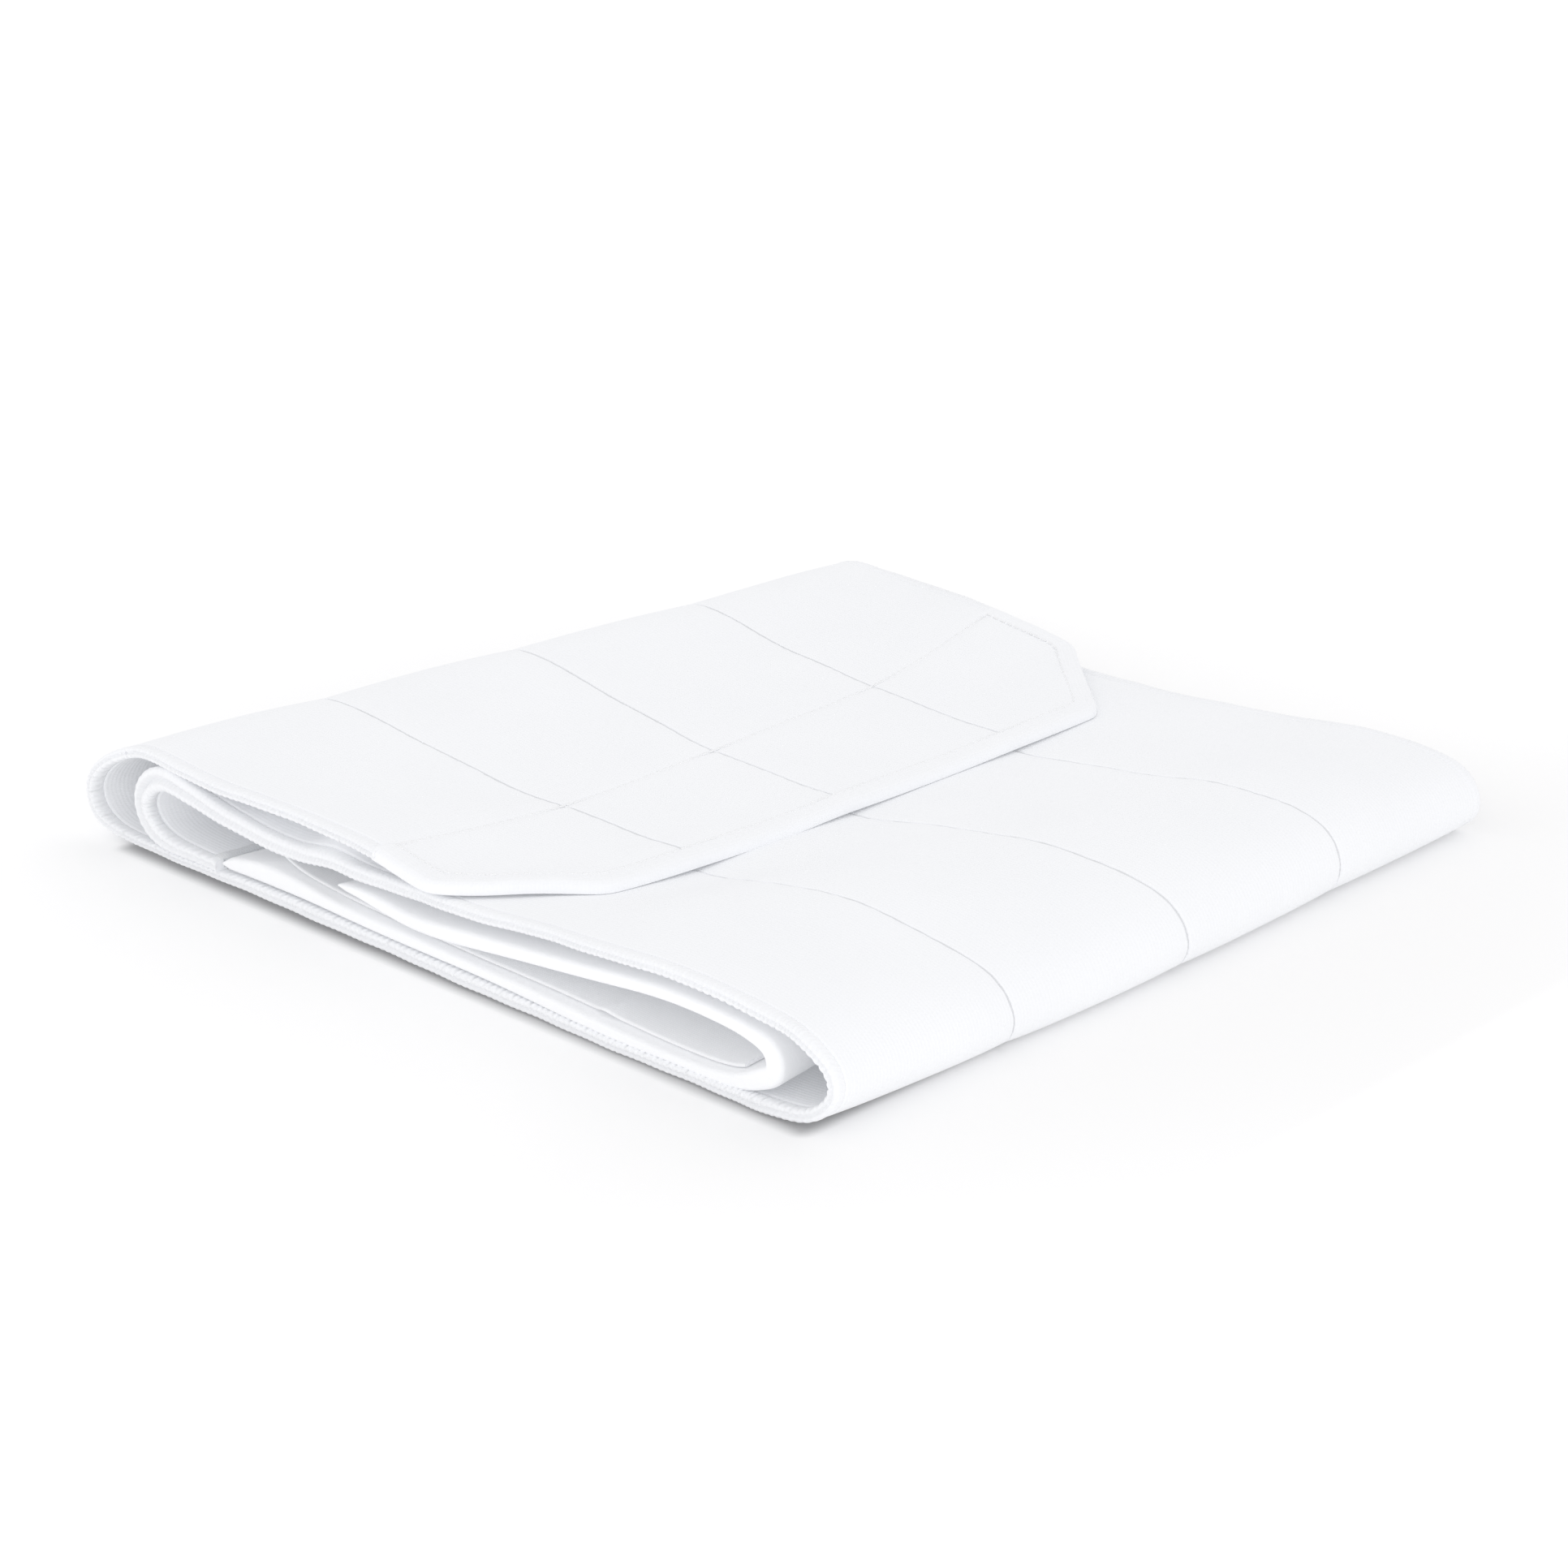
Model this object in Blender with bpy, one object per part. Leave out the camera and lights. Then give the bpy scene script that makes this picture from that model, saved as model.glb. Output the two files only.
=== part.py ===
"""Four-panel elastic body binder, rolled flat, with a hook-and-loop closing tab.

Run with:  blender --background --python part.py
Metres, +Z up.  X runs along the belt (left fold at -X, right fold at +X),
Y runs across its width, and the roll rests on Z = 0.
"""

import math

import bmesh
import bpy
import numpy as np
from mathutils import Matrix, Vector

# ------------------------------------------------------------- dimensions --
LENGTH = 0.328  # outer fold to outer fold
WIDTH = 0.305  # four 3 in panels side by side
PANELS = 4
BELT_T = 0.0036  # elastic band
PAD_T = 0.0060  # padded loop panel at the inner end
STRIP_T = 0.0012  # thin ply that lies on the padded panel
HOOK_T = 0.0014  # hook patch under the tab
GAP = 0.0003  # clearance between neighbouring pieces
LEFT_H = 0.0340  # height over the left folds
RIGHT_H = 0.0330  # height over the right folds

SEAM_W = 0.0018  # panel joining seam
SEAM_T = 0.0024
EDGE_W = 0.0030  # overlocked long edge
EDGE_T = 0.0030
STITCH_W = 0.0009  # a row of lockstitches
STITCH_T = 0.0026

FLAP_REACH = 0.190  # left fold to the end of the closing tab
FLAP_HINGE = 0.045  # left fold to the line where the flap turns up
PATCH_DEPTH = 0.061  # hook patch, from its stitch row to the tab's end
BORDER_W = 0.0080  # turned hem round the tab
CHAMFER_X = 0.0380  # bevelled corner, along the belt
CHAMFER_Y = 0.0365  # bevelled corner, across the belt

INNER_FOLD_INSET = 0.024  # inner left fold behind the outer one
VALLEY_X = 0.088  # dip of the second layer, from the left fold
PAD_START = 0.0660  # padded panel begins this far from the left fold
PAD_FOLD_INSET = 0.0200  # its right fold, behind the outer right fold
PAD_END = 0.1260  # its upper branch ends this far from the left fold
PAD_SET_BACK = 0.0020  # padded panel behind the belt's long edges
STRIP_SET_BACK = 0.0060
PAD_TOP_Z = 0.0212  # upper branch at its right fold
ARC_STEP = math.radians(15.0)

WHITE_KNIT = (0.90, 0.905, 0.90)

# ---------------------------------------------------------- derived sizes --
LEFT_X = -LENGTH / 2
RIGHT_X = LENGTH / 2
HALF_W = WIDTH / 2
PITCH = WIDTH / PANELS
TAB_END = LEFT_X + FLAP_REACH
HINGE_X = LEFT_X + FLAP_HINGE
PATCH_X = TAB_END - PATCH_DEPTH
LAYER_1 = BELT_T / 2
PAD_LOW = BELT_T + GAP + PAD_T / 2
STRIP_Z = PAD_LOW + PAD_T / 2 + GAP + STRIP_T / 2
PAD_HIGH = STRIP_Z + STRIP_T / 2 + GAP + PAD_T / 2
LAYER_2 = PAD_HIGH + PAD_T / 2 + GAP + BELT_T / 2
HOOK_Z = LAYER_2 + BELT_T / 2 + GAP + HOOK_T / 2
FLAP_Z = HOOK_Z + HOOK_T / 2 + GAP + BELT_T / 2
LEFT_TOP = LEFT_H - BELT_T / 2
RIGHT_TOP = RIGHT_H - BELT_T / 2


# ------------------------------------------------------------------ scene --
def clear_scene():
    for obj in list(bpy.data.objects):
        bpy.data.objects.remove(obj, do_unlink=True)
    for mesh in list(bpy.data.meshes):
        bpy.data.meshes.remove(mesh)
    for curve in list(bpy.data.curves):
        bpy.data.curves.remove(curve)


def new_collection(name):
    collection = bpy.data.collections.new(name)
    bpy.context.scene.collection.children.link(collection)
    return collection


def make_material(name, colour, roughness, metallic=0.0):
    material = bpy.data.materials.new(name)
    material.use_nodes = True
    shader = material.node_tree.nodes["Principled BSDF"]
    shader.inputs["Base Color"].default_value = (*colour, 1.0)
    shader.inputs["Roughness"].default_value = roughness
    shader.inputs["Metallic"].default_value = metallic
    material.diffuse_color = (*colour, 1.0)
    return material


# -------------------------------------------------------------- path tools --
def ease(t):
    t = min(max(t, 0.0), 1.0)
    return t * t * (3.0 - 2.0 * t)


def height_at(stations, x):
    """Height at x between (x, z) stations, level at each of them."""
    if x <= stations[0][0]:
        return stations[0][1]
    for (xa, za), (xb, zb) in zip(stations, stations[1:]):
        if x <= xb:
            return za + (zb - za) * ease((x - xa) / (xb - xa))
    return stations[-1][1]


def run(stations, x_from, x_to, steps):
    """Points along a layer, from x_from to x_to."""
    points = []
    for i in range(steps + 1):
        x = x_from + (x_to - x_from) * i / steps
        points.append((x, height_at(stations, x)))
    return points


def arc(cx, cz, radius, start, end):
    """Points round a fold, ends left out; angles in degrees."""
    start = math.radians(start)
    end = math.radians(end)
    count = max(2, int(round(abs(end - start) / ARC_STEP)))
    points = []
    for i in range(1, count):
        angle = start + (end - start) * i / count
        points.append((cx + radius * math.cos(angle), cz + radius * math.sin(angle)))
    return points


def outline(path, thickness):
    """Closed outline of a band of this thickness that follows path."""
    p = np.array(path, dtype=float)
    step = np.diff(p, axis=0)
    step /= np.linalg.norm(step, axis=1)[:, None]
    before = np.vstack([step[:1], step])
    after = np.vstack([step, step[-1:]])
    tangent = before + after
    tangent /= np.linalg.norm(tangent, axis=1)[:, None]
    normal = np.stack([-tangent[:, 1], tangent[:, 0]], axis=1)
    mitre = 1.0 / np.maximum((tangent * after).sum(axis=1), 0.5)
    side = normal * (thickness / 2 * mitre)[:, None]
    return np.vstack([p + side, (p - side)[::-1]])


# ------------------------------------------------------------ solid makers --
def filled_curve(name, loop, depth):
    curve = bpy.data.curves.new(name, "CURVE")
    curve.dimensions = "2D"
    curve.fill_mode = "BOTH"
    curve.extrude = depth / 2
    spline = curve.splines.new("POLY")
    spline.points.add(len(loop) - 1)
    for point, (u, v) in zip(spline.points, loop):
        point.co = (u, v, 0.0, 1.0)
    spline.use_cyclic_u = True
    return curve


def solid_from_curve(name, curve, matrix, origin, material, collection, parent):
    """Turn a filled curve into a closed mesh whose origin is at origin, its parent's place."""
    helper = bpy.data.objects.new(name + "_outline", curve)
    collection.objects.link(helper)
    bpy.context.view_layer.update()
    mesh = bpy.data.meshes.new_from_object(helper)
    bpy.data.objects.remove(helper, do_unlink=True)
    bpy.data.curves.remove(curve)
    mesh.name = name
    mesh.transform(Matrix.Translation(-Vector(origin)) @ matrix)
    work = bmesh.new()
    work.from_mesh(mesh)
    bmesh.ops.remove_doubles(work, verts=work.verts, dist=0.00001)
    bmesh.ops.recalc_face_normals(work, faces=work.faces)
    work.to_mesh(mesh)
    work.free()
    mesh.materials.clear()
    mesh.materials.append(material)
    obj = bpy.data.objects.new(name, mesh)
    collection.objects.link(obj)
    obj.parent = parent
    obj.location = (0.0, 0.0, 0.0) if parent else origin
    return obj


def band(name, path, thickness, y_low, y_high, group):
    """A bent band: the section in X and Z, pushed out along Y."""
    curve = filled_curve(name, outline(path, thickness), y_high - y_low)
    turn = Matrix.Rotation(math.radians(90.0), 4, "X")
    matrix = Matrix.Translation((0.0, (y_low + y_high) / 2, 0.0)) @ turn
    material = make_material(name, group["colour"], group["roughness"])
    return solid_from_curve(
        name, curve, matrix, group["origin"], material, group["collection"], group["parent"]
    )


def plate(name, loop, z_mid, thickness, group):
    """A flat piece: the plan in X and Y, pushed out along Z."""
    curve = filled_curve(name, loop, thickness)
    matrix = Matrix.Translation((0.0, 0.0, z_mid))
    material = make_material(name, group["colour"], group["roughness"])
    return solid_from_curve(
        name, curve, matrix, group["origin"], material, group["collection"], group["parent"]
    )


# ------------------------------------------------------------- belt paths --
def flap_stations():
    return [(HINGE_X, LEFT_TOP), (PATCH_X - 0.004, FLAP_Z)]


def layer_2_stations():
    inner_top = LEFT_H - BELT_T - GAP - BELT_T / 2 - 0.0006
    inner_x = LEFT_X + INNER_FOLD_INSET
    return [
        (inner_x + 0.0100, inner_top),
        (LEFT_X + VALLEY_X, LAYER_2 - 0.0008),
        (LEFT_X + PAD_END - 0.006, LAYER_2),
        (TAB_END, LAYER_2),
        (RIGHT_X - 0.036, RIGHT_TOP),
    ]


def roll_path():
    """Elastic from the flap hinge round both outer folds to the padded panel."""
    left_r = (LEFT_TOP - LAYER_1) / 2
    left_cx = LEFT_X + BELT_T / 2 + left_r
    right_r = (RIGHT_TOP - LAYER_1) / 2
    right_cx = RIGHT_X - BELT_T / 2 - right_r
    stations = layer_2_stations()
    inner_top = stations[0][1]
    lower = BELT_T + GAP + BELT_T / 2
    inner_r = (inner_top - lower) / 2
    inner_cx = LEFT_X + INNER_FOLD_INSET + BELT_T / 2 + inner_r
    path = [(HINGE_X - GAP / 2, LEFT_TOP)]
    path += [(left_cx, LEFT_TOP)]
    path += arc(left_cx, LAYER_1 + left_r, left_r, 90.0, 270.0)
    path += [(left_cx, LAYER_1), (right_cx, LAYER_1)]
    path += arc(right_cx, LAYER_1 + right_r, right_r, -90.0, 90.0)
    path += [(right_cx, RIGHT_TOP)]
    path += run(stations, stations[-1][0], TAB_END, 7)
    path += run(stations, stations[2][0], inner_cx + 0.003, 12)
    path += [(inner_cx, inner_top)]
    path += arc(inner_cx, lower + inner_r, inner_r, 90.0, 270.0)
    path += [(inner_cx, lower)]
    path += [(LEFT_X + PAD_START - SEAM_W - 2 * GAP, lower)]
    return path


def pad_path():
    """Padded panel: lower branch, right inner fold, upper branch."""
    stations = layer_2_stations()
    drop = BELT_T / 2 + GAP + PAD_T / 2
    radius = (PAD_TOP_Z - PAD_LOW) / 2
    fold_x = RIGHT_X - PAD_FOLD_INSET - PAD_T / 2 - radius
    path = [(LEFT_X + PAD_START, PAD_LOW), (fold_x, PAD_LOW)]
    path += arc(fold_x, PAD_LOW + radius, radius, -90.0, 90.0)
    path += [(fold_x, PAD_TOP_Z)]
    start = fold_x - 0.012
    steps = 10
    for i in range(steps + 1):
        x = start + (TAB_END - start) * i / steps
        path.append((x, min(height_at(stations, x) - drop, PAD_TOP_Z)))
    path += [(LEFT_X + PAD_END, PAD_HIGH)]
    return path


def strip_path():
    start = LEFT_X + PAD_START + 0.014
    end = RIGHT_X - PAD_FOLD_INSET - PAD_T - 0.008
    return [(start, STRIP_Z), (end, STRIP_Z)]


def panel_span(index):
    """Y limits of one elastic panel, between its seams or long edges."""
    low = -HALF_W + index * PITCH + SEAM_W / 2 + GAP
    high = -HALF_W + (index + 1) * PITCH - SEAM_W / 2 - GAP
    if index == 0:
        low = -HALF_W + EDGE_W + GAP
    if index == PANELS - 1:
        high = HALF_W - EDGE_W - GAP
    return low, high


def seam_span(index):
    middle = -HALF_W + (index + 1) * PITCH
    return middle - SEAM_W / 2, middle + SEAM_W / 2


# ------------------------------------------------------------- sub-parts --
def build_roll(group):
    path = roll_path()
    for i in range(PANELS):
        low, high = panel_span(i)
        band(f"roll_elastic_panel_{i + 1}", path, BELT_T, low, high, group)
    for i in range(PANELS - 1):
        low, high = seam_span(i)
        band(f"roll_panel_seam_{i + 1}", path, SEAM_T, low, high, group)
    band("roll_near_edge", path, EDGE_T, -HALF_W, -HALF_W + EDGE_W, group)
    band("roll_far_edge", path, EDGE_T, HALF_W - EDGE_W, HALF_W, group)


def build_padded_panel(group):
    half = HALF_W - PAD_SET_BACK
    band("padded_loop_panel", pad_path(), PAD_T, -half, half, group)
    half = HALF_W - STRIP_SET_BACK
    band("inner_end_ply", strip_path(), STRIP_T, -half, half, group)
    x_high = LEFT_X + PAD_START - GAP
    x_low = x_high - SEAM_W
    half = HALF_W - PAD_SET_BACK
    loop = [(x_low, -half), (x_high, -half), (x_high, half), (x_low, half)]
    plate("loop_panel_seam", loop, BELT_T + GAP + BELT_T / 2, SEAM_T, group)


def build_flap(group):
    low_x = HINGE_X + GAP / 2
    high_x = PATCH_X - STITCH_W / 2 - GAP
    path = run(flap_stations(), low_x, high_x, 9)
    for i in range(PANELS):
        low, high = panel_span(i)
        band(f"flap_elastic_panel_{i + 1}", path, BELT_T, low, high, group)
    for i in range(PANELS - 1):
        low, high = seam_span(i)
        band(f"flap_panel_seam_{i + 1}", path, SEAM_T, low, high, group)
    band("flap_near_edge", path, EDGE_T, -HALF_W, -HALF_W + EDGE_W, group)
    band("flap_far_edge", path, EDGE_T, HALF_W - EDGE_W, HALF_W, group)
    row = [(PATCH_X - STITCH_W / 2, FLAP_Z), (PATCH_X + STITCH_W / 2, FLAP_Z)]
    band("hook_patch_stitch_row", row, STITCH_T, -HALF_W, HALF_W, group)


def tab_edge(inset):
    """Half of the tab's plan at this inset: points from the stitch row to its end."""
    corner = inset * (math.sqrt(CHAMFER_X**2 + CHAMFER_Y**2) - CHAMFER_X) / CHAMFER_Y
    side = inset * (math.sqrt(CHAMFER_X**2 + CHAMFER_Y**2) - CHAMFER_Y) / CHAMFER_X
    return [
        (TAB_END - CHAMFER_X - corner, HALF_W - inset),
        (TAB_END - inset, HALF_W - CHAMFER_Y - side),
    ]


def tab_ring(outer, inner, start):
    """C-shaped plan between two insets, open towards the stitch row."""
    a, b = tab_edge(outer)
    c, d = tab_edge(inner)
    return [
        (start, -a[1]),
        (a[0], -a[1]),
        (b[0], -b[1]),
        (b[0], b[1]),
        (a[0], a[1]),
        (start, a[1]),
        (start, c[1]),
        (c[0], c[1]),
        (d[0], d[1]),
        (d[0], -d[1]),
        (c[0], -c[1]),
        (start, -c[1]),
    ]


def build_tab(group):
    start = PATCH_X + STITCH_W / 2 + GAP
    inset = BORDER_W + STITCH_W + 2 * GAP
    (chamfer_x, chamfer_y), (end_x, end_y) = tab_edge(inset)
    for i in range(PANELS):
        low, high = panel_span(i)
        if i == 0:
            loop = [
                (start, -chamfer_y),
                (chamfer_x, -chamfer_y),
                (end_x, -end_y),
                (end_x, high),
                (start, high),
            ]
        elif i == PANELS - 1:
            loop = [
                (start, low),
                (end_x, low),
                (end_x, end_y),
                (chamfer_x, chamfer_y),
                (start, chamfer_y),
            ]
        else:
            loop = [(start, low), (end_x, low), (end_x, high), (start, high)]
        plate(f"tab_elastic_panel_{i + 1}", loop, FLAP_Z, BELT_T, group)
    for i in range(PANELS - 1):
        low, high = seam_span(i)
        loop = [(start, low), (end_x, low), (end_x, high), (start, high)]
        plate(f"tab_panel_seam_{i + 1}", loop, FLAP_Z, SEAM_T, group)

    stitch = tab_ring(BORDER_W + GAP, BORDER_W + GAP + STITCH_W, start)
    plate("tab_border_stitch_row", stitch, FLAP_Z, STITCH_T, group)

    under = LAYER_2 + BELT_T / 2 + GAP
    over = FLAP_Z + BELT_T / 2
    border = tab_ring(0.0, BORDER_W, start)
    plate("tab_turned_border", border, (under + over) / 2, over - under, group)

    patch_inset = BORDER_W + GAP
    (chamfer_x, chamfer_y), (end_x, end_y) = tab_edge(patch_inset)
    loop = [
        (start, -chamfer_y),
        (chamfer_x, -chamfer_y),
        (end_x, -end_y),
        (end_x, end_y),
        (chamfer_x, chamfer_y),
        (start, chamfer_y),
    ]
    plate("tab_hook_patch", loop, HOOK_Z, HOOK_T, group)


def add_hinge(name, location, parent, collection):
    empty = bpy.data.objects.new(name, None)
    empty.empty_display_size = 0.03
    collection.objects.link(empty)
    empty.location = location
    if parent is not None:
        empty.parent = parent
        empty.location = Vector(location) - parent.location
    return empty


def main():
    clear_scene()
    collection = new_collection("body_binder")
    flap_origin = (HINGE_X, 0.0, LEFT_H)
    flap_hinge = add_hinge("flap_hinge", flap_origin, None, collection)
    tab_origin = (PATCH_X, 0.0, FLAP_Z + BELT_T / 2)
    tab_hinge = add_hinge("tab_hinge", tab_origin, flap_hinge, collection)
    base = {"colour": WHITE_KNIT, "roughness": 0.85, "collection": collection}
    roll = dict(base, origin=(0.0, 0.0, 0.0), parent=None)
    flap = dict(base, origin=flap_origin, parent=flap_hinge)
    build_roll(roll)
    build_padded_panel(roll)
    build_flap(flap)
    tab = dict(base, origin=tab_origin, parent=tab_hinge)
    build_tab(tab)


main()
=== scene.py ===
"""Looks of the four-panel elastic body binder, rolled flat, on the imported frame."""

import math

import bpy
import numpy as np
from mathutils import Euler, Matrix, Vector


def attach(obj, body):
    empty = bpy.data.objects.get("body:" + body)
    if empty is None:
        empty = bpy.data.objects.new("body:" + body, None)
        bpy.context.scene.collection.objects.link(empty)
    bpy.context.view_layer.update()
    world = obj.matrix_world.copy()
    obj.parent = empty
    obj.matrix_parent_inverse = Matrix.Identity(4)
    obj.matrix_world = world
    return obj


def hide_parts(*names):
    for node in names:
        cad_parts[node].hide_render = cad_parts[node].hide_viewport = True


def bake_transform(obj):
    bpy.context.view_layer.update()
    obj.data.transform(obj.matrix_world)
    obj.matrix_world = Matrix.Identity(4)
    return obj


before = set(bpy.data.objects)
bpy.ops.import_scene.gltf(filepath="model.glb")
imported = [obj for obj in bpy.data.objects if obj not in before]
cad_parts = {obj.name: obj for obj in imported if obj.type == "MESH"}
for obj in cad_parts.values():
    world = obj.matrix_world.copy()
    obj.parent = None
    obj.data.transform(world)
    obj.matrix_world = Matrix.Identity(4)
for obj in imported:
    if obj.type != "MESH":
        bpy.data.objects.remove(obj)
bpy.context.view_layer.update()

MM = 0.001
HALF = 152.5  # half the belt's width, mm
STATIONS = np.array([-1.0, -0.5, 0.0, 0.5, 1.0]) * HALF
SEAMS = (-76.25, 0.0, 76.25)

# Centre line of the belt at the five stations: x, height, sideways shift, thickness (mm).
# It runs from the tab's end over the top, round both folds and into the inner loop.
FLAT = (3.4, 3.4, 3.4, 3.4)
NONE = (0, 0, 0, 0, 0)
BELT = [
    ((38, 35.5, 29, 23.5, 22.5), (30.2, 21.3, 18.9, 18.1, 20.2), (-2, 1.5, -6, -1, -2), 3.6),
    ((16, 12.5, 9.5, 3, 2), (27.7, 21.4, 19.0, 18.4, 21.0), (-2, 1.5, -5.5, -1, -2), 3.5),
    ((-4, -7.5, -9, -15, -16), (28.5, 22.0, 19.6, 19.2, 22.2), (-2, 1.5, -5, -1, -2), 3.3),
    ((-25, -29, -29, -36, -37), (31.3, 22.6, 20.0, 20.4, 24.9), (-1, 1, -4, -0.5, -1), 3.2),
    ((-50, -50, -50, -55, -57), (32.3, 23.2, 20.6, 21.4, 26.8), (0, 0, -2.5, 0, 0), 3.1),
    ((-80, -75, -71, -72, -76), (31.7, 25.2, 22.4, 22.8, 28.4), (0, 0, -1, 0, 0), 3.1),
    ((-108, -103, -96, -93, -95), (31.7, 28.2, 26.0, 25.6, 29.2), NONE, 3.1),
    ((-131, -125, -120, -115, -114), (33.0, 30.2, 29.8, 29.6, 29.6), NONE, 3.2),
    ((-142.5, -140.9, -135.6, -129.9, -128.4), (31.4, 29.4, 29.4, 29.4, 29.0), NONE, 3.3),
    ((-154.2, -147.5, -142.4, -136.7, -135.2), (25.7, 24.8, 24.8, 24.8, 24.6), NONE, 3.4),
    ((-161.5, -150.8, -145.7, -140, -138.5), (18.6, 18.8, 18.8, 18.8, 18.8), NONE, 3.4),
    ((-163.0, -151, -145.8, -140.1, -138.6), (13.0, 13, 13, 13, 13), NONE, 3.4),
    ((-160.4, -148.5, -143.2, -137.5, -136), (7.6, 7, 7, 7, 7), NONE, 3.6),
    ((-154.5, -142, -137, -131.5, -130), (4.4, 3.2, 3.2, 3.2, 3.2), NONE, 3.0),
    ((-142, -130, -125, -120, -118), (3.0, 1.8, 1.8, 1.8, 1.8), NONE, 2.5),
    ((-110, -100, -96, -92, -90), (2.8, 1.7, 1.7, 1.7, 1.7), NONE, 2.5),
    ((-60, -55, -52, -50, -50), (3.1, 1.7, 1.7, 1.7, 1.7), NONE, 3.4),
    ((-10, -10, -8, -8, -8), (2.5, 1.7, 1.7, 1.7, 1.7), NONE, 3.4),
    ((40, 35, 36, 34, 34), (1.8, 1.7, 1.7, 1.7, 1.7), NONE, 3.2),
    ((90, 85, 84, 80, 76), (1.5, 1.7, 1.7, 1.7, 1.7), NONE, 2.8),
    ((125, 122, 120, 114, 108), (1.8, 1.7, 1.7, 1.7, 1.7), NONE, 3.2),
    ((142, 143, 141, 135, 131), (2.6, 1.8, 1.8, 1.8, 1.8), NONE, 3.7),
    ((153.4, 151.5, 149.5, 144, 139.5), (5.6, 3.8, 3.8, 3.6, 3.8), NONE, 3.5),
    ((159.9, 154.2, 152.2, 147.4, 143.8), (12.3, 8.8, 8.8, 8.6, 8.9), NONE, 3.4),
    ((159.2, 152.4, 150.6, 147, 143), (18.6, 14.2, 14.2, 13.8, 14.2), NONE, 3.3),
    ((151.5, 146.5, 144.5, 143, 137.5), (24.35, 19.2, 19.4, 19.4, 19.2), NONE, 3.2),
    ((141, 134, 132, 133, 126), (27.7, 22.8, 23.0, 23.6, 22.0), NONE, 3.2),
    ((118, 115, 115, 116, 108), (29.6, 25.4, 24.4, 24.8, 23.2), NONE, 3.2),
    ((92, 92, 97, 97, 88), (29.1, 26.2, 24.2, 23.4, 21.6), (0, 0, -1, 0, 0), 3.2),
    ((61, 62, 72, 72, 62), (27.2, 22.6, 21.4, 19.4, 18.8), (0.5, 0, -2, 0, 0), 3.2),
    ((35, 43, 46, 42, 34), (25.1, 19.2, 18.0, 16.0, 16.6), (1, 0.5, -3.5, 0, 0), 3.4),
    ((5, 12, 20, 14, 8), (22.4, 17.2, 14.5, 13.4, 15.3), (1.5, 1, -4, 0, 0), 3.6),
    ((-25, -25, -18, -20, -22), (21.4, 17.2, 14.6, 14.0, 15.6), (1.5, 1, -3, 0, 0), 4.2),
    ((-56, -55, -50, -50, -48), (20.3, 18.0, 15.6, 16.4, 17.4), (0.5, 0, -1.5, 0, 0), 4.8),
    ((-80, -78, -72, -70, -68), (21.0, 19.4, 17.4, 18.4, 19.0), NONE, 5.2),
    ((-100, -97, -90, -86, -84), (23.4, 22.0, 20.4, 20.4, 21.0), NONE, 5.8),
    ((-115, -110, -103, -98, -96), (26.2, 24.4, 22.8, 22.2, 23.0), NONE, 6.8),
    ((-127, -118, -113, -108, -106), (26.6, 24.6, 23.4, 23.0, 23.4), NONE, 7.4),
    ((-134.4, -124.6, -119.6, -114, -112), (22.2, 21.0, 20.4, 20.2, 20.2), NONE, 7.8),
    ((-136.8, -126.9, -121.9, -116.2, -114.2), (16.0, 15.4, 15.0, 14.8, 14.8), NONE, 7.8),
    ((-134.2, -124.6, -119.6, -114, -112), (10.4, 9.6, 9.4, 9.2, 9.2), NONE, 7.0),
    ((-127, -118, -113, -107.6, -105.6), (6.9, 6.2, 6.0, 5.9, 5.9), NONE, 5.2),
    ((-114, -106, -103, -100, -98.5), (5.9, 5.4, 5.3, 5.3, 5.3), NONE, 3.6),
    ((-99, -97, -96, -94, -92), (5.7, 5.4, 5.3, 5.3, 5.3), NONE, 3.2),
]
BELT = [(x, z, d, (t,) + FLAT) for x, z, d, t in BELT]

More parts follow.
